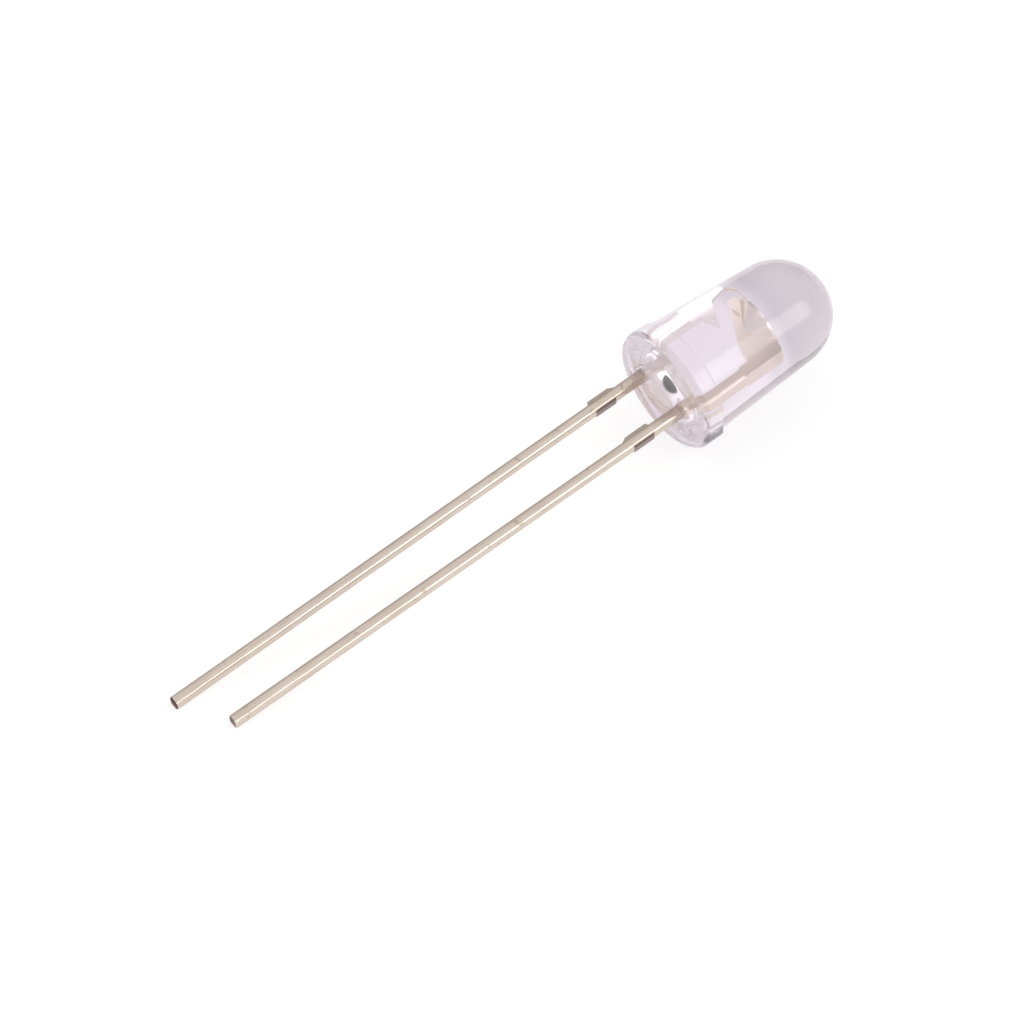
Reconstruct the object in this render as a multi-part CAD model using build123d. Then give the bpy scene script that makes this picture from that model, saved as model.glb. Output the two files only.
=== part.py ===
"""Water-clear 5 mm through-hole LED, lying at rest on its flange and its two lead tips.

Every piece is drawn in the lamp's own frame: z runs from the back face towards the dome, x runs
across the two leads from the long one to the short one, and y is square to the flat lead frame.
The finished pieces are then laid down together. Lengths are millimetres, angles are degrees.
"""
import os
from math import acos, asin, atan2, cos, hypot, radians, sin, sqrt, tan

from build123d import *

# moulded clear body
flange_radius = 2.92
flange_height = 1.1
flange_back_round = 0.32
flange_front_round = 0.14
flange_offset_x = 0.04  # the rim sits a little off the lamp's axis, as on the photographed one
flange_offset_y = 0.03
body_base_radius = 2.76
dome_radius = 2.48
dome_centre_height = 6.45
flat_margin = 0.04  # the cathode flat lies this far outside the body's foot
dish_radius = 2.27  # the back face sank a little as the epoxy cured
dish_depth = 0.12
meniscus_height = 0.30
meniscus_width = 0.22

# two square leads, stamped with the anvil and the post from one strip
lead_pitch = 2.54
strip_thickness = 0.50
lead_width = 0.50
lead_corner = 0.13
lead_end_chamfer = 0.05
anode_length = 25.2  # back face to tip
cathode_length = 23.9
lead_skew = 1.1  # the lead frame leans this far towards the short lead inside the body
lead_toe_in = 0.28  # each lead bends this far towards the other one

# sheared stubs of the bar that tied the leads together
stub_centre_depth = 2.35
stub_face_length = 1.12
stub_flush_reach = 0.02  # the die cut nearly flush on the side towards +x
stub_bulge_reach = 0.10  # and left more of the bar on the other side
stub_step_length = 0.10
stub_ramp_length = 0.45  # one end of each bulge fades out slowly
stub_thickness = 0.44

# anvil, on the short lead, and its reflector cup
anvil_top_drop = 0.12  # from the cup's rim to the top of the anvil
anvil_head_reach = 0.97  # past the cup's axis, away from the lead
anvil_head_depth = 0.55
anvil_neck_height = 3.42
anvil_neck_x = 0.26
anvil_corner = 0.16
cup_axis_x = 0.04
cup_rim_height = 5.24
cup_rim_radius = 0.84
cup_band = 0.14
cup_foot_height = 4.30
cup_lip = 0.11
cup_depth = 0.40
cup_floor_radius = 0.34

# post, on the long lead, with its inward beak
post_top_height = 5.04
post_beak_start = 3.18
post_beak_height = 3.56
post_beak_reach = 0.40
post_waist_height = 4.12
post_waist_inset = 0.18
post_lean = 0.16
post_shoulder_height = 3.85

# light-emitting chip, its adhesive and its wire
chip_side = 0.34
chip_height = 0.24
chip_saw_chamfer = 0.02
paste_thickness = 0.02
paste_margin = 0.06
wire_diameter = 0.03
wire_sides = 8  # at this size a true circle would only add facets
wire_ball_diameter = 0.10
wire_rise = 0.22  # crest of the loop over the cup's rim
wire_rim_clearance = 0.14
wire_stitch_length = 0.20
wire_loop_radius = 0.10

# search for the tilt at which the lamp rests on a table
rest_tilt_limit = 12
rest_halvings = 40


def lead_x(side):
    """Centre of a lead where it leaves the body: side is -1 for the anode, 1 for the cathode."""
    return side * lead_pitch / 2


def wall_end():
    """Radius and height where the tapered wall runs tangent into the dome."""
    drop = flange_height - dome_centre_height
    turn = atan2(drop, body_base_radius) + acos(dome_radius / hypot(body_base_radius, drop))
    return dome_radius * cos(turn), dome_centre_height + dome_radius * sin(turn)


def body_radius(height):
    """Radius of the tapered wall at a height above the back face."""
    end_radius, end_height = wall_end()
    share = (height - flange_height) / (end_height - flange_height)
    return body_base_radius + (end_radius - body_base_radius) * share


def lead_section(x, z):
    """Rounded square section of a lead, square to z."""
    return Plane.XY * Pos(x, 0, z) * RectangleRounded(lead_width, strip_thickness, lead_corner)


def lead_wire(side, length, top):
    """One lead from its cut tip up to a height inside the body."""
    x = lead_x(side)
    shift = -side * length * tan(radians(lead_toe_in))
    outside = loft([lead_section(x + shift, -length), lead_section(x, 0)], ruled=True)
    tip_edges = outside.faces().sort_by(Axis.Z)[0].edges()
    outside = chamfer(tip_edges, lead_end_chamfer)
    inside = extrude(lead_section(x, 0), amount=top)
    return outside + inside


def stub_pair(side):
    """The two sheared stubs of one lead, drawn as one flat outline that spans the lead."""
    drift = -side * stub_centre_depth * tan(radians(lead_toe_in))
    flush = lead_width / 2 + stub_flush_reach
    bulge = -lead_width / 2 - stub_bulge_reach
    root = lead_width / 2 - lead_corner
    end = stub_face_length / 2
    step = end + stub_step_length
    ramp = end + stub_ramp_length
    outline = Polyline(
        (bulge, side * end),
        (-root, side * step),
        (root, side * step),
        (flush, side * end),
        (flush, -side * end),
        (root, -side * step),
        (-root, -side * ramp),
        (bulge, -side * end),
        close=True,
    )
    plate = extrude(Plane.XZ * make_face(outline), amount=stub_thickness / 2, both=True)
    return Pos(lead_x(side) + drift, 0, -stub_centre_depth) * plate


def strip_plate(points):
    """A flat stamping of the strip's thickness, from its outline in x and z."""
    face = make_face(Polyline(*points, close=True))
    return extrude(Plane.XZ * face, amount=strip_thickness / 2, both=True)


def reflector_cup():
    """Solid cone that stands out of the anvil on both sides, and the dish pressed into its top."""
    foot = strip_thickness / 2
    band_foot = cup_rim_height - cup_band
    outer = Polyline(
        (0, cup_foot_height),
        (foot, cup_foot_height),
        (cup_rim_radius, band_foot),
        (cup_rim_radius, cup_rim_height),
        (0, cup_rim_height),
        close=True,
    )
    floor = cup_rim_height - cup_depth
    mouth = cup_rim_radius - cup_lip
    dish = Polyline(
        (0, floor),
        (cup_floor_radius, floor),
        (mouth, cup_rim_height),
        (0, cup_rim_height),
        close=True,
    )
    axis = Pos(cup_axis_x, 0, 0)
    cone = axis * revolve(Plane.XZ * make_face(outer), Axis.Z)
    hollow = axis * revolve(Plane.XZ * make_face(dish), Axis.Z)
    return cone, hollow


def anvil_plate():
    """Stamped head of the short lead: it steps in from the lead to carry the cup on the axis."""
    outer = lead_x(1) + lead_width / 2
    inner = lead_x(1) - lead_width / 2
    head = cup_axis_x - anvil_head_reach
    top = cup_rim_height - anvil_top_drop
    points = [
        (outer, anvil_neck_height - lead_width),
        (outer, top - anvil_corner),
        (outer - anvil_corner, top),
        (head + anvil_corner, top),
        (head, top - anvil_corner),
        (head, top - anvil_head_depth),
        (anvil_neck_x, anvil_neck_height + anvil_corner),
        (inner, anvil_neck_height),
        (inner, anvil_neck_height - lead_width),
    ]
    return strip_plate(points)


def post_plate():
    """Stamped head of the long lead: a beak towards the axis and a narrow top for the wire."""
    outer = lead_x(-1) - lead_width / 2
    inner = lead_x(-1) + lead_width / 2
    points = [
        (outer, post_beak_start - lead_width),
        (inner, post_beak_start - lead_width),
        (inner, post_beak_start),
        (inner + post_beak_reach, post_beak_height),
        (inner - post_waist_inset, post_waist_height),
        (inner - post_waist_inset - post_lean / 2, post_top_height),
        (outer - post_lean, post_top_height),
        (outer - post_lean, post_waist_height),
        (outer, post_shoulder_height),
    ]
    return strip_plate(points)


def cathode_lead():
    cone, hollow = reflector_cup()
    wire = lead_wire(1, cathode_length, anvil_neck_height - lead_width)
    return wire + stub_pair(1) + anvil_plate() + cone - hollow


def anode_lead():
    wire = lead_wire(-1, anode_length, post_beak_start - lead_width)
    return wire + stub_pair(-1) + post_plate()


def die_attach():
    """Thin pad of silver adhesive between the cup's floor and the chip."""
    side = chip_side + 2 * paste_margin
    floor = cup_rim_height - cup_depth
    pad = RectangleRounded(side, side, side / 4)
    return Pos(cup_axis_x, 0, floor) * extrude(pad, amount=paste_thickness)


def led_chip():
    """Sawn cube of semiconductor, with its upper edges chamfered."""
    base = cup_rim_height - cup_depth + paste_thickness
    chip = Box(chip_side, chip_side, chip_height, align=(Align.CENTER, Align.CENTER, Align.MIN))
    chip = chamfer(chip.faces().sort_by(Axis.Z)[-1].edges(), chip_saw_chamfer)
    return Pos(cup_axis_x, 0, base) * chip


def bond_wire():
    """Gold wire from the chip's top to the post: a ball, a loop over the cup's rim and a stitch."""
    start = cup_rim_height - cup_depth + paste_thickness + chip_height
    post_inner = lead_x(-1) + lead_width / 2 - post_waist_inset - post_lean / 2
    radius = wire_diameter / 2
    landing = post_top_height + radius
    edge = cup_axis_x - anvil_head_reach - wire_rim_clearance
    path = FilletPolyline(
        (cup_axis_x, 0, start),
        (cup_axis_x, 0, cup_rim_height + wire_rise),
        (edge, 0, cup_rim_height + wire_rim_clearance),
        (post_inner, 0, landing),
        (post_inner - wire_stitch_length, 0, landing),
        radius=wire_loop_radius,
    )
    section = RegularPolygon(radius, wire_sides, major_radius=False, rotation=180 / wire_sides)
    wire = sweep(Plane(path @ 0, z_dir=path % 0) * section, path=path)
    ball_height = wire_ball_diameter / 2
    ball = Pos(cup_axis_x, 0, start) * extrude(Circle(wire_ball_diameter / 2), amount=ball_height)
    ball = chamfer(ball.faces().sort_by(Axis.Z)[-1].edges(), ball_height / 2)
    return wire + ball


def back_dish():
    """What the sunken middle of the back face lacks: a shallow cap of a sphere."""
    arc = ThreePointArc(
        (-dish_radius, 0),
        (0, dish_depth),
        (dish_radius, 0),
    )
    cap = make_face([arc, Line(arc @ 1, arc @ 0)])
    return revolve(Plane.XZ * split(cap, Plane.YZ), Axis.Z)


def dish_height(radius):
    """Height of the sunken back face at a distance from the axis."""
    sphere_radius = (dish_radius ** 2 + dish_depth ** 2) / (2 * dish_depth)
    return dish_depth - sphere_radius + sqrt(sphere_radius ** 2 - radius ** 2)


def meniscus(side):
    """Concave collar of epoxy that climbs a lead where it leaves the back face."""
    half = lead_width / 2
    foot = half + meniscus_width
    arc = RadiusArc((half, -meniscus_height), (foot, 0), meniscus_height + meniscus_width)
    rest = Polyline((foot, 0), (foot, dish_depth), (0, dish_depth), (0, -meniscus_height),
                    (half, -meniscus_height))
    face = Plane.XZ * make_face([arc, rest])
    return Pos(lead_x(side), 0, dish_height(lead_pitch / 2)) * revolve(face, Axis.Z)


def clear_body():
    """Flange with its cathode flat, tapered wall and half-round dome, moulded in one piece."""
    rim = Pos(flange_offset_x, flange_offset_y, 0) * extrude(Circle(flange_radius), amount=flange_height)
    cut_x = body_base_radius + flat_margin
    side = 2 * flange_radius
    block = Box(side, 2 * side, side, align=(Align.MIN, Align.CENTER, Align.CENTER))
    rim -= Pos(cut_x, 0, 0) * block
    rim = fillet(rim.faces().sort_by(Axis.Z)[0].edges(), flange_back_round)
    rim = fillet(rim.faces().sort_by(Axis.Z)[-1].edges(), flange_front_round)
    wall = Polyline(
        (0, flange_back_round),
        (body_radius(flange_back_round), flange_back_round),
        wall_end(),
    )
    dome = RadiusArc(wall @ 1, (0, dome_centre_height + dome_radius), -dome_radius)
    spine = Line(dome @ 1, wall @ 0)
    core = revolve(Plane.XZ * make_face([wall, dome, spine]), Axis.Z)
    return rim + core - back_dish()


def epoxy_lens(embedded):
    """The clear body, cast round the leads and everything that they carry."""
    body = clear_body() + meniscus(-1) + meniscus(1)
    for piece in embedded:
        body -= piece
    return body


def skewed(piece):
    """Turns a lead-frame piece by the lean of the frame about the back face's centre."""
    return Rot(0, -lead_skew, 0) * piece


def tip_centre(side, length):
    """Centre of a lead's section just above the chamfer at its tip."""
    reach = length - lead_end_chamfer
    x = lead_x(side) - side * reach * tan(radians(lead_toe_in))
    return Vector(x, 0, -reach).rotate(Axis.Y, -lead_skew)


def rest_plane():
    """Plane of the table, in the lamp's frame, under the flange and the two lead tips."""
    tip = tip_centre(1, cathode_length)
    across = tip_centre(-1, anode_length) - tip

    def upward(tilt):
        roll = -asin(across.Z / across.X * tan(tilt))
        return Vector(sin(roll) * cos(tilt), -cos(roll) * cos(tilt), sin(tilt))

    def tip_low(up):
        turned = up.rotate(Axis.Y, lead_skew)
        corner = (lead_width / 2 - lead_corner) * (abs(turned.X) + abs(turned.Y))
        return tip.dot(up) - corner - lead_corner * hypot(turned.X, turned.Y)

    def flange_low(up):
        ring = Vector(flange_offset_x, flange_offset_y, flange_back_round).dot(up)
        return ring - (flange_radius - flange_back_round) * hypot(up.X, up.Y) - flange_back_round

    low, high = 0.0, radians(rest_tilt_limit)
    for _ in range(rest_halvings):
        middle = (low + high) / 2
        up = upward(middle)
        if flange_low(up) < tip_low(up):
            low = middle
        else:
            high = middle
    up = upward(low)
    along = Vector(0, 0, 1)
    return Plane(origin=(0, 0, 0), x_dir=along - up * along.dot(up), z_dir=up)


def build():
    """All pieces, by name, laid down with the table at z = 0 and the box's centre at x = y = 0."""
    pieces = {
        "cathode_lead": cathode_lead(),
        "anode_lead": anode_lead(),
        "die_attach": die_attach(),
        "led_chip": led_chip(),
        "bond_wire": bond_wire(),
    }
    pieces = {name: skewed(piece) for name, piece in pieces.items()}
    pieces["epoxy_lens"] = epoxy_lens(list(pieces.values()))
    lay = rest_plane().location.inverse()
    pieces = {name: lay * piece for name, piece in pieces.items()}
    box = Compound(list(pieces.values())).bounding_box()
    settle = Pos(-(box.min.X + box.max.X) / 2, -(box.min.Y + box.max.Y) / 2, -box.min.Z)
    return {name: settle * piece for name, piece in pieces.items()}, settle * lay


parts, placement = build()
os.makedirs("parts", exist_ok=True)
for name, piece in parts.items():
    export_step(piece, f"parts/{name}.step")
    print(name, len(piece.solids()), round(piece.volume, 4))
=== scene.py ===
"""A water-clear 5 mm through-hole LED at rest on a white table, with its plated leads and its cup."""
from math import acos, atan2, cos, hypot, pi, radians, sin, tan

import bmesh
import bpy
from mathutils import Matrix, Vector


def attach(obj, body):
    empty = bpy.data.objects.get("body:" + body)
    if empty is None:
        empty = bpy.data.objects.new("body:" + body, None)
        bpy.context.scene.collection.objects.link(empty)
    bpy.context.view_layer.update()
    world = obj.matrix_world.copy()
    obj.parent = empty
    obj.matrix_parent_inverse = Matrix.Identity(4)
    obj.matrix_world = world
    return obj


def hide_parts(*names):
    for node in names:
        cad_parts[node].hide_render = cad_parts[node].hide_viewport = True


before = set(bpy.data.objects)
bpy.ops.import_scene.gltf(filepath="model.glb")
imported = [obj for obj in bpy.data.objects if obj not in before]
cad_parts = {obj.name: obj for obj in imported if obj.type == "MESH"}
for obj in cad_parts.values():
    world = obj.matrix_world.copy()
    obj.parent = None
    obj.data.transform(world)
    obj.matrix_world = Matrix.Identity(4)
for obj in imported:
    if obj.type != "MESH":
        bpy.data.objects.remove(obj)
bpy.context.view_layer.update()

# the lamp's own frame as it lies on the table: z from the back face to the dome, x from the long
# lead to the short one. Lengths in this frame are millimetres.
BACK_CENTRE = Vector((0.0081045, -0.0000145, 0.0029032))
LAMP_Z = Vector((0.994274, 0.0, 0.106864))
LAMP_X = Vector((0.006785, -0.997983, -0.063124))
LAMP_Y = LAMP_Z.cross(LAMP_X)
MM = 0.001
LAMP_TURN = Matrix((LAMP_X, LAMP_Y, LAMP_Z)).transposed()
LAMP = Matrix.Translation(BACK_CENTRE) @ LAMP_TURN.to_4x4() @ Matrix.Scale(MM, 4)

# clear body
FLANGE_RADIUS = 2.92
FLANGE_HEIGHT = 1.1
BACK_ROUND = 0.32
FRONT_ROUND = 0.14
FLANGE_OFFSET = (0.04, 0.03)
BODY_RADIUS = 2.76
FLAT_X = 2.80
DOME_RADIUS = 2.48
DOME_CENTRE = 6.45
DISH_RADIUS = 2.27
DISH_DEPTH = 0.12
FLANGE_LEDGE = 0.004  # the flange's skin never comes nearer than this to the body's foot

# how finely the body's outline is divided, and the tolerances that tell its vertices apart
TURNS = 320
BACK_RINGS = 56
BACK_ROUND_RINGS = 10
FRONT_ROUND_RINGS = 4
WALL_RINGS = 16
DOME_RINGS = 48
CREASE = radians(28)
TOUCH = 1e-4
WELD = 1e-5
ON_BACK = 1e-6

# leads
LEAD_X = 1.27
LEAD_HALF = 0.25
LEAD_LENGTHS = {-1: 25.2, 1: 23.9}
LEAD_SKEW = 1.1
LEAD_TOE_IN = 0.28
MENISCUS_HEIGHT = 0.30
MENISCUS_WIDTH = 0.22

# sheared faces: a pair of numbers is where a soft edge starts and where it is full
STUB_DEPTH = 2.35
STUB_MIDDLE = -0.04  # halfway between a lead's two sheared sides, from the lead's centre
STUB_FACES = (0.303, 0.308)
STUB_ENDS = (0.60, 0.56)
TIP_BAND = (0.06, 0.02)  # height over the cut
EMBEDDED_BAND = (-0.25, 0.15)  # from the plating outside to the brighter metal in the epoxy
# the cup gets a brighter silver than the strip: a painted highlight
CUP_HIGHLIGHT_BAND = (0.25, 0.27)  # what stands out of the flat strip is the cup
CHIP_TOP_BAND = (5.06, 5.09)

# relief of the leads: a height of 1 stands for PLATE_RELIEF metres. The crown rounds the plain
# lead in the light, and the lean tips the post in the epoxy.
PLATE_RELIEF = 0.00002
LEAD_CROWN = 24.0
POST_LEAN = -16.0

# finishes of the leads
PLATE_DEEP = (0.61, 0.52, 0.44, 1)
PLATE_PALE = (0.72, 0.63, 0.55, 1)
PLATE_SPOT = (0.36, 0.29, 0.22, 1)
SHEARED_DARK = (0.13, 0.07, 0.055, 1)
SHEARED_PALE = (0.36, 0.29, 0.28, 1)
# the silver inside the epoxy, one plating in three colours: painted shade on the short lead's strip, a
# painted highlight on its cup, painted light on the long lead's post
ANVIL_SILVER_PAINTED_SHADE = (0.99, 0.91, 0.80, 1)
CUP_SILVER_PAINTED_HIGHLIGHT = (1.0, 0.97, 0.90, 1)
POST_SILVER_PAINTED_LIGHT = (1.0, 0.98, 0.94, 1)

# finish of the epoxy: a lilac tint, with painted shade that deepens near the top of the wall and over the
# dome, and painted shade again on the back face
EPOXY_IOR = 1.54
BODY_TINTS = ((0.82, 0.74, 0.82, 1), (0.87, 0.79, 0.87, 1))
DOME_PAINTED_SHADES = ((0.57, 0.51, 0.57, 1), (0.64, 0.575, 0.63, 1))
BACK_PAINTED_SHADE = (0.68, 0.60, 0.66, 1)
DOME_SHADE_START_BAND = (4.6, 5.4)
DOME_SHADE_FADE_BAND = (5.2, 7.0)
BACK_SHADE_BAND = (0.40, 0.25)
RING_BAND = (3.2, 4.6)  # squares of the radii between which the flange's dull ring begins
RING_TOP_BAND = (1.12, 1.0)

# table, room and lights. KEY, TOP and FLAG point away from the lamp, and their bands are cosines
# of the angle from them. The far wall is found by the northward and upward parts of a direction.
TABLE_HALF = 0.9
TABLE_CELLS = 8
TABLE_SHADES = ((0.42, 0.42, 0.42, 1), (0.46, 0.46, 0.46, 1))
TABLE_GLOW = 0.68
ROOM_LIGHT = 0.72
FAR_WALL_DEPTH = 0.52
FAR_WALL_LIFT = 0.15  # rays through the epoxy see the far wall this much less dark
FAR_WALL_NORTH = (-0.2, 0.5)
FAR_WALL_HEIGHT = (1.0, 0.40)
FAR_WALL_COLOUR = (1, 0.95, 0.93, 1)
KEY = Vector((0.41, -0.73, 0.55)).normalized()
KEY_BAND = (0.94, 0.985)
KEY_GLOW = 2.2
TOP = Vector((0.33, -0.16, 0.93)).normalized()
TOP_BAND = (0.88, 0.96)
TOP_GLOW = 0.55
FLAG = Vector((0.475, -0.51, 0.715)).normalized()
FLAG_BAND = (0.971, 0.985)
FLAG_DEPTH = 0.98
LIGHT_BOXES = {"key_box": ((0.125, -0.22, 0.165), 0.20), "top_box": ((-0.10, 0.16, 0.26), 0.10)}
LIGHT_BOX_SIZE = 0.22
LIGHT_BOX_AIM = Vector((0, 0, 0.003))
BOUNCES = 48  # a ray can turn round many times inside the flange before it comes out

# the photograph's view
CAMERA_PLACE = (-0.051933, -0.068554, 0.095999)
CAMERA_FORWARD = Vector((0.404028, 0.534664, -0.742224))
CAMERA_UP = Vector((0.460365, 0.582304, 0.670065))
CAMERA_LENS = 106.15
SENSOR_WIDTH = 36.0
CLIP = (0.005, 10.0)

# places of the colour sockets on a Mix node, which share their names with its other sockets
MIX_FIRST, MIX_SECOND, MIX_RESULT = 6, 7, 2


class Shade:
    """A socket in a shader tree. Arithmetic on it adds Math nodes; node() adds any other node."""

    def __init__(self, tree, socket=None):
        self.tree = tree
        self.socket = socket

    def node(self, kind, settings=None, inputs=None, output=0):
        made = self.tree.nodes.new(kind)
        for name, value in (settings or {}).items():
            setattr(made, name, value)
        for name, value in (inputs or {}).items():
            if isinstance(value, Shade):
                self.tree.links.new(value.socket, made.inputs[name])
            else:
                made.inputs[name].default_value = value
        return Shade(self.tree, made.outputs[output] if made.outputs else None)

    def math(self, operation, first, second=0.0):
        return self.node("ShaderNodeMath", {"operation": operation}, {0: first, 1: second})

    def __add__(self, other):
        return self.math("ADD", self, other)

    def __radd__(self, other):
        return self.math("ADD", other, self)

    def __sub__(self, other):
        return self.math("SUBTRACT", self, other)

    def __rsub__(self, other):
        return self.math("SUBTRACT", other, self)

    def __mul__(self, other):
        return self.math("MULTIPLY", self, other)

    def __rmul__(self, other):
        return self.math("MULTIPLY", other, self)

    def __abs__(self):
        return self.math("ABSOLUTE", self)

    def step(self, low, high):
        """Rises smoothly from 0 at low to 1 at high, or falls when high is the lower one."""
        inputs = {"Value": self, "From Min": low, "From Max": high}
        return self.node("ShaderNodeMapRange", {"interpolation_type": "SMOOTHSTEP"}, inputs)

    def mix(self, first, second):
        """Blends two colours by this value."""
        inputs = {"Factor": self, MIX_FIRST: first, MIX_SECOND: second}
        return self.node("ShaderNodeMix", {"data_type": "RGBA"}, inputs, MIX_RESULT)

    def noise(self, vector, scale, detail=3.0, roughness=0.5):
        """Soft random values round 0.5."""
        inputs = {"Vector": vector, "Scale": scale, "Detail": detail, "Roughness": roughness}
        return self.node("ShaderNodeTexNoise", inputs=inputs)


def new_material(name):
    """An empty material, and the Shade that its nodes are made with."""
    material = bpy.data.materials.new(name)
    material.use_nodes = True
    material.node_tree.nodes.clear()
    return material, Shade(material.node_tree)


def finish_material(shade, surface):
    """Joins a shader to the material's output."""
    shade.node("ShaderNodeOutputMaterial", inputs={"Surface": surface})


def lamp_coordinates(shade):
    """Position in the lamp's own frame, in millimetres."""
    place = shade.node("ShaderNodeTexCoord", output="Object")
    turn = LAMP_TURN.to_euler("XYZ")
    inputs = {"Vector": place, "Location": BACK_CENTRE, "Rotation": turn, "Scale": (MM, MM, MM)}
    return shade.node("ShaderNodeMapping", {"vector_type": "TEXTURE"}, inputs)


def split(shade, vector):
    """The three components of a vector."""
    parts = shade.node("ShaderNodeSeparateXYZ", inputs={"Vector": vector})
    return [Shade(shade.tree, socket) for socket in parts.socket.node.outputs]


def stretched(shade, vector, scale):
    """The vector times a scale for each axis: a small scale draws a pattern out along its axis."""
    return shade.node("ShaderNodeMapping", inputs={"Vector": vector, "Scale": scale})


def plated_metal(name, side, plate_silver_painted_shading, cup_silver_painted_highlight, lean):
    """Warm tin over stamped steel, brighter silver inside the epoxy with painted light and shade, and
    dark sheared faces.

    side is -1 for the long lead and 1 for the short one. lean tips the light on the embedded part. The
    two silver colours are one plating with painted light and shade: the strip's and the cup's.
    """
    material, shade = new_material(name)
    place = lamp_coordinates(shade)
    x, y, z = split(shade, place)
    across = x - side * LEAD_X + z * tan(radians(LEAD_SKEW - side * LEAD_TOE_IN))
    streaks = shade.noise(stretched(shade, place, (9, 9, 0.35)), scale=1.6, detail=4.0)
    clouds = shade.noise(place, scale=0.9)
    grain = shade.noise(place, scale=22.0, detail=2.0)
    spots = shade.noise(place, scale=2.6, detail=2.0, roughness=0.4).step(0.66, 0.74)
    stub = abs(across - STUB_MIDDLE).step(*STUB_FACES) * abs(z + STUB_DEPTH).step(*STUB_ENDS)
    tip = z.step(*(height - LEAD_LENGTHS[side] for height in TIP_BAND))
    sheared = shade.math("MAXIMUM", stub, tip)
    embedded = z.step(*EMBEDDED_BAND)
    tone = (0.65 * streaks + 0.35 * clouds).step(0.32, 0.68)
    plate = tone.mix(PLATE_DEEP, PLATE_PALE)
    plate = (spots * 0.35).mix(plate, PLATE_SPOT)
    # silver inside the epoxy: the short lead gets painted shade on its strip and a painted highlight on
    # its cup, the long lead painted light on its post
    silver = abs(y).step(*CUP_HIGHLIGHT_BAND).mix(plate_silver_painted_shading, cup_silver_painted_highlight)
    plate = embedded.mix(plate, silver)
    bare = (y.step(-0.22, 0.05) * stub).mix(SHEARED_DARK, SHEARED_PALE)
    colour = sheared.mix(plate, bare)
    roughness = 0.17 + 0.12 * streaks + 0.2 * spots + 0.25 * sheared + 0.1 * embedded
    crown = (across * across + y * y) * (1.0 - embedded) * LEAD_CROWN
    height = 0.08 * streaks + 0.05 * grain - crown + lean * across * embedded
    bump = shade.node("ShaderNodeBump", inputs={
        "Strength": 1.0, "Distance": PLATE_RELIEF, "Height": height})
    metal = shade.node("ShaderNodeBsdfPrincipled", inputs={
        "Base Color": colour, "Metallic": 1.0, "Roughness": roughness, "Normal": bump})
    finish_material(shade, metal)
    return material


def clear_epoxy():
    """Water-clear epoxy with a breath of lilac, painted shade on the dome and the back face, duller on
    the flange.
    """
    material, shade = new_material("water_clear_epoxy")
    place = lamp_coordinates(shade)
    x, y, z = split(shade, place)
    waves = shade.noise(stretched(shade, place, (1.0, 1.0, 0.5)), scale=0.8, detail=2.0)
    body = waves.step(0.3, 0.7).mix(*BODY_TINTS)
    # painted shade over the dome, deepest at its foot and lighter towards its tip
    dome = z.step(*DOME_SHADE_FADE_BAND).mix(*DOME_PAINTED_SHADES)
    tint_and_painted_shade = z.step(*DOME_SHADE_START_BAND).mix(body, dome)
    # painted shade on the back face
    tint_and_painted_shade = z.step(*BACK_SHADE_BAND).mix(tint_and_painted_shade, BACK_PAINTED_SHADE)
    ring = (x * x + y * y).step(*RING_BAND) * z.step(*RING_TOP_BAND)
    roughness = 0.012 + 0.02 * shade.noise(place, scale=6.0) + 0.10 * ring
    bump = shade.node("ShaderNodeBump", inputs={
        "Strength": 0.02, "Distance": 0.00004, "Height": waves})
    glass = shade.node("ShaderNodeBsdfPrincipled", inputs={
        "Base Color": tint_and_painted_shade, "Roughness": roughness, "IOR": EPOXY_IOR, "Transmission Weight": 1.0,
        "Normal": bump})
    finish_material(shade, glass)
    return material


def silver_paste():
    """Matt silver-filled adhesive with a lumpy surface."""
    material, shade = new_material("silver_paste")
    place = lamp_coordinates(shade)
    flakes = shade.noise(place, scale=40.0, detail=4.0, roughness=0.7)
    colour = flakes.step(0.3, 0.7).mix((0.45, 0.45, 0.46, 1), (0.72, 0.72, 0.73, 1))
    bump = shade.node("ShaderNodeBump", inputs={
        "Strength": 0.4, "Distance": 0.00001, "Height": flakes})
    paste = shade.node("ShaderNodeBsdfPrincipled", inputs={
        "Base Color": colour, "Metallic": 0.5, "Roughness": 0.5 + 0.2 * flakes, "Normal": bump})
    finish_material(shade, paste)
    return material


def chip_material():
    """Sawn semiconductor: olive sides and a paler, glossy top."""
    material, shade = new_material("sawn_semiconductor")
    place = lamp_coordinates(shade)
    height = split(shade, place)[2]
    top = height.step(*CHIP_TOP_BAND)
    saw = shade.noise(stretched(shade, place, (4, 4, 40)), scale=3.0, detail=2.0)
    side = saw.mix((0.16, 0.13, 0.05, 1), (0.34, 0.28, 0.12, 1))
    colour = top.mix(side, (0.62, 0.56, 0.34, 1))
    chip = shade.node("ShaderNodeBsdfPrincipled", inputs={
        "Base Color": colour, "Roughness": 0.25 + 0.2 * saw})
    finish_material(shade, chip)
    return material


def gold():
    """Bright drawn gold."""
    material, shade = new_material("drawn_gold")
    place = lamp_coordinates(shade)
    draw = shade.noise(stretched(shade, place, (30, 30, 3)), scale=2.0, detail=2.0)
    colour = draw.mix((0.86, 0.58, 0.20, 1), (0.95, 0.72, 0.34, 1))
    wire = shade.node("ShaderNodeBsdfPrincipled", inputs={
        "Base Color": colour, "Metallic": 1.0, "Roughness": 0.15 + 0.15 * draw})
    finish_material(shade, wire)
    return material


def rim_radius(angle, inset):
    """Distance from the lamp's axis to the flange's outline, drawn in by inset, at an angle."""
    away = hypot(*FLANGE_OFFSET)
    bearing = angle - atan2(FLANGE_OFFSET[1], FLANGE_OFFSET[0])
    radius = FLANGE_RADIUS - inset
    reach = away * cos(bearing) + (radius ** 2 - (away * sin(bearing)) ** 2) ** 0.5
    if cos(angle) > 0:
        reach = min(reach, (FLAT_X - inset) / cos(angle))
    return reach


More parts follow.
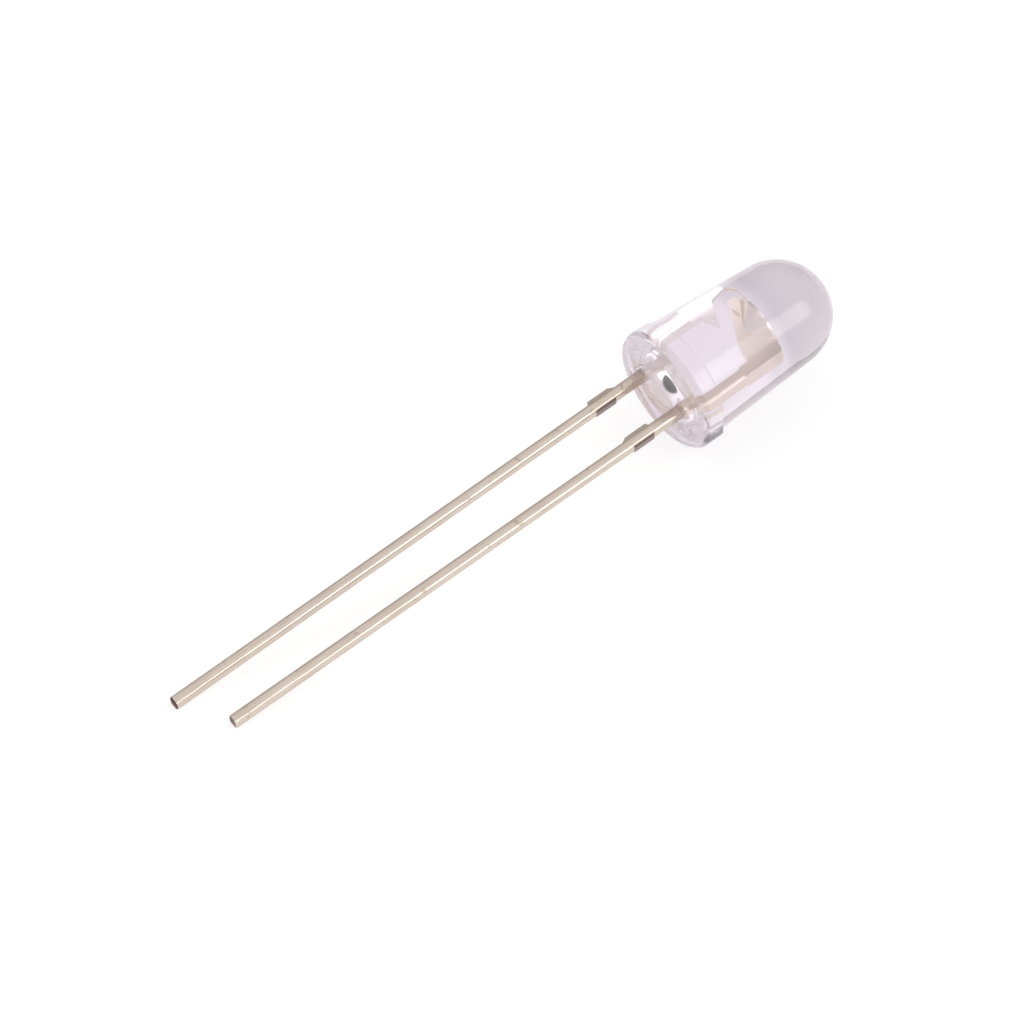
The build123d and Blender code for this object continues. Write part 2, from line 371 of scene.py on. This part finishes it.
def wall_end():
    """Radius and height where the tapered wall runs tangent into the dome."""
    drop = FLANGE_HEIGHT - DOME_CENTRE
    turn = atan2(drop, BODY_RADIUS) + acos(DOME_RADIUS / hypot(BODY_RADIUS, drop))
    return DOME_RADIUS * cos(turn), DOME_CENTRE + DOME_RADIUS * sin(turn)


def body_profile():
    """Half outline of the clear body, from the back face's centre to the top of the dome."""
    inner = FLANGE_RADIUS - BACK_ROUND
    points = [(inner * i / BACK_RINGS, 0) for i in range(BACK_RINGS + 1)]
    for i in range(1, BACK_ROUND_RINGS + 1):
        turn = pi / 2 * i / BACK_ROUND_RINGS
        points.append((inner + BACK_ROUND * sin(turn), BACK_ROUND * (1 - cos(turn))))
    points.append((FLANGE_RADIUS, (BACK_ROUND + FLANGE_HEIGHT - FRONT_ROUND) / 2))
    for i in range(FRONT_ROUND_RINGS + 1):
        turn = pi / 2 * i / FRONT_ROUND_RINGS
        points.append((FLANGE_RADIUS - FRONT_ROUND * (1 - cos(turn)),
                       FLANGE_HEIGHT - FRONT_ROUND * (1 - sin(turn))))
    end_radius, end_height = wall_end()
    for i in range(WALL_RINGS + 1):
        share = i / WALL_RINGS
        points.append((BODY_RADIUS + (end_radius - BODY_RADIUS) * share,
                       FLANGE_HEIGHT + (end_height - FLANGE_HEIGHT) * share))
    start = atan2(end_height - DOME_CENTRE, end_radius)
    for i in range(1, DOME_RINGS + 1):
        turn = start + (pi / 2 - start) * i / DOME_RINGS
        points.append((DOME_RADIUS * cos(turn), DOME_CENTRE + DOME_RADIUS * sin(turn)))
    return points


def back_height(x, y):
    """Height of the back face: sunken in the middle, and drawn out along each lead."""
    dish = DISH_DEPTH * max(1 - (x * x + y * y) / DISH_RADIUS ** 2, 0)
    away = hypot(max(abs(abs(x) - LEAD_X) - LEAD_HALF, 0), max(abs(y) - LEAD_HALF, 0))
    share = max(1 - away / MENISCUS_WIDTH, 0)
    return dish - MENISCUS_HEIGHT * share ** 2


def clear_body():
    """The epoxy's outer skin: one lathe profile, drawn out to the offset flange and its flat."""
    shell = bmesh.new()
    points = [shell.verts.new((r, 0, z)) for r, z in body_profile()]
    edges = [shell.edges.new(pair) for pair in zip(points, points[1:])]
    bmesh.ops.spin(shell, geom=points + edges, cent=(0, 0, 0), axis=(0, 0, 1), angle=2 * pi,
                   steps=TURNS, use_merge=True)
    bmesh.ops.remove_doubles(shell, verts=shell.verts, dist=WELD)
    inner = FLANGE_RADIUS - BACK_ROUND
    for vert in shell.verts:
        x, y, z = vert.co
        radius = hypot(x, y)
        angle = atan2(y, x)
        if z > FLANGE_HEIGHT + TOUCH or (z > BACK_ROUND and radius < BODY_RADIUS + TOUCH):
            continue
        if radius < inner:
            wanted = rim_radius(angle, BACK_ROUND) * radius / inner
        else:
            wanted = max(rim_radius(angle, FLANGE_RADIUS - radius), BODY_RADIUS + FLANGE_LEDGE)
        vert.co = (wanted * cos(angle), wanted * sin(angle), z)
        if z < ON_BACK:
            vert.co.z += back_height(vert.co.x, vert.co.y)
    bmesh.ops.recalc_face_normals(shell, faces=shell.faces)
    for face in shell.faces:
        face.smooth = True
    for edge in shell.edges:
        if edge.is_manifold and edge.calc_face_angle() > CREASE:
            edge.smooth = False
    bmesh.ops.transform(shell, matrix=LAMP, verts=shell.verts)
    mesh = bpy.data.meshes.new("clear_body")
    shell.to_mesh(mesh)
    shell.free()
    body = bpy.data.objects.new("clear_body", mesh)
    bpy.context.collection.objects.link(body)
    mesh.materials.append(clear_epoxy())
    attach(body, "root")
    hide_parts("epoxy_lens")


def dress_nodes():
    """Gives each piece that stays from the solid model its own finish."""
    finishes = {
        # the silver of each lead carries painted light and shade
        "cathode_lead": plated_metal("plated_short_lead", 1, ANVIL_SILVER_PAINTED_SHADE, CUP_SILVER_PAINTED_HIGHLIGHT, 0.0),
        "anode_lead": plated_metal("plated_long_lead", -1, POST_SILVER_PAINTED_LIGHT, POST_SILVER_PAINTED_LIGHT, POST_LEAN),
        "die_attach": silver_paste(),
        "led_chip": chip_material(),
        "bond_wire": gold(),
    }
    for name, material in finishes.items():
        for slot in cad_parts[name].material_slots:
            slot.material = material


def ray_kind(shade, name):
    """1 for rays of the named kind, and 0 for all others."""
    rays = shade.node("ShaderNodeLightPath").socket.node.outputs
    return Shade(shade.tree, rays[name])


def seen_directly(shade):
    """1 for rays that show a surface as it is: from the camera, in a mirror or through glass."""
    mirrored = ray_kind(shade, "Is Glossy Ray")
    passed = ray_kind(shade, "Is Transmission Ray")
    camera_ray = ray_kind(shade, "Is Camera Ray")
    return shade.math("MAXIMUM", camera_ray, shade.math("MAXIMUM", mirrored, passed))


def table():
    """Large white sheet under the lamp. It glows just enough to read as white and keeps a shadow."""
    sheet = bmesh.new()
    bmesh.ops.create_grid(sheet, x_segments=TABLE_CELLS, y_segments=TABLE_CELLS, size=TABLE_HALF)
    mesh = bpy.data.meshes.new("white_table")
    sheet.to_mesh(mesh)
    sheet.free()
    floor = bpy.data.objects.new("white_table", mesh)
    bpy.context.collection.objects.link(floor)
    material, shade = new_material("white_sheet")
    place = shade.node("ShaderNodeTexCoord", output="Object")
    fibre = shade.noise(place, scale=900.0)
    colour = fibre.mix(*TABLE_SHADES)
    glow = seen_directly(shade) * TABLE_GLOW
    sheet_shader = shade.node("ShaderNodeBsdfPrincipled", inputs={
        "Base Color": colour, "Roughness": 0.9, "Specular IOR Level": 0.0,
        "Emission Color": (1, 1, 1, 1), "Emission Strength": glow})
    finish_material(shade, sheet_shader)
    mesh.materials.append(material)


def studio():
    """Pale surroundings with a darker far wall and a soft round key light.

    A top light and a small black flag are there only for rays that come through the epoxy.
    """
    world = bpy.data.worlds.new("white_room")
    bpy.context.scene.world = world
    world.use_nodes = True
    world.node_tree.nodes.clear()
    shade = Shade(world.node_tree)
    direction = shade.node("ShaderNodeTexCoord", output="Generated")
    north, height = split(shade, direction)[1:]

    def towards(aim):
        """Cosine of the angle between a ray and a direction."""
        inputs = {0: direction, 1: aim}
        return shade.node("ShaderNodeVectorMath", {"operation": "DOT_PRODUCT"}, inputs, "Value")

    far_wall = north.step(*FAR_WALL_NORTH) * height.step(*FAR_WALL_HEIGHT)
    refracted = ray_kind(shade, "Is Transmission Ray")
    seen = 1.0 - (FAR_WALL_DEPTH - FAR_WALL_LIFT * refracted) * far_wall
    seen = seen + TOP_GLOW * refracted * towards(TOP).step(*TOP_BAND)
    seen = seen + KEY_GLOW * towards(KEY).step(*KEY_BAND)
    seen = seen * (1.0 - FLAG_DEPTH * refracted * towards(FLAG).step(*FLAG_BAND))
    strength = ROOM_LIGHT + seen_directly(shade) * (seen - ROOM_LIGHT)
    colour = far_wall.mix((1, 1, 1, 1), FAR_WALL_COLOUR)
    room = shade.node("ShaderNodeBackground", inputs={"Color": colour, "Strength": strength})
    shade.node("ShaderNodeOutputWorld", inputs={"Surface": room})
    for name, (place, power) in LIGHT_BOXES.items():
        light = bpy.data.lights.new(name, "AREA")
        light.shape = "DISK"
        light.size = LIGHT_BOX_SIZE
        light.energy = power
        box = bpy.data.objects.new(name, light)
        box.location = place
        box.rotation_euler = (LIGHT_BOX_AIM - Vector(place)).to_track_quat("-Z", "Y").to_euler()
        box.visible_glossy = False
        box.visible_transmission = False
        bpy.context.collection.objects.link(box)


def camera():
    """The photograph's view."""
    data = bpy.data.cameras.new("camera")
    data.sensor_width = SENSOR_WIDTH
    data.lens = CAMERA_LENS
    data.clip_start, data.clip_end = CLIP
    view = bpy.data.objects.new("camera", data)
    forward = CAMERA_FORWARD.normalized()
    up = CAMERA_UP.normalized()
    right = forward.cross(up).normalized()
    turn = Matrix((right, right.cross(forward), -forward)).transposed()
    view.matrix_world = Matrix.Translation(CAMERA_PLACE) @ turn.to_4x4()
    bpy.context.collection.objects.link(view)
    bpy.context.scene.camera = view


clear_body()
dress_nodes()
table()
studio()
camera()
bpy.context.scene.view_settings.view_transform = "Standard"
for kind in ("max_bounces", "transmission_bounces", "glossy_bounces"):
    setattr(bpy.context.scene.cycles, kind, BOUNCES)
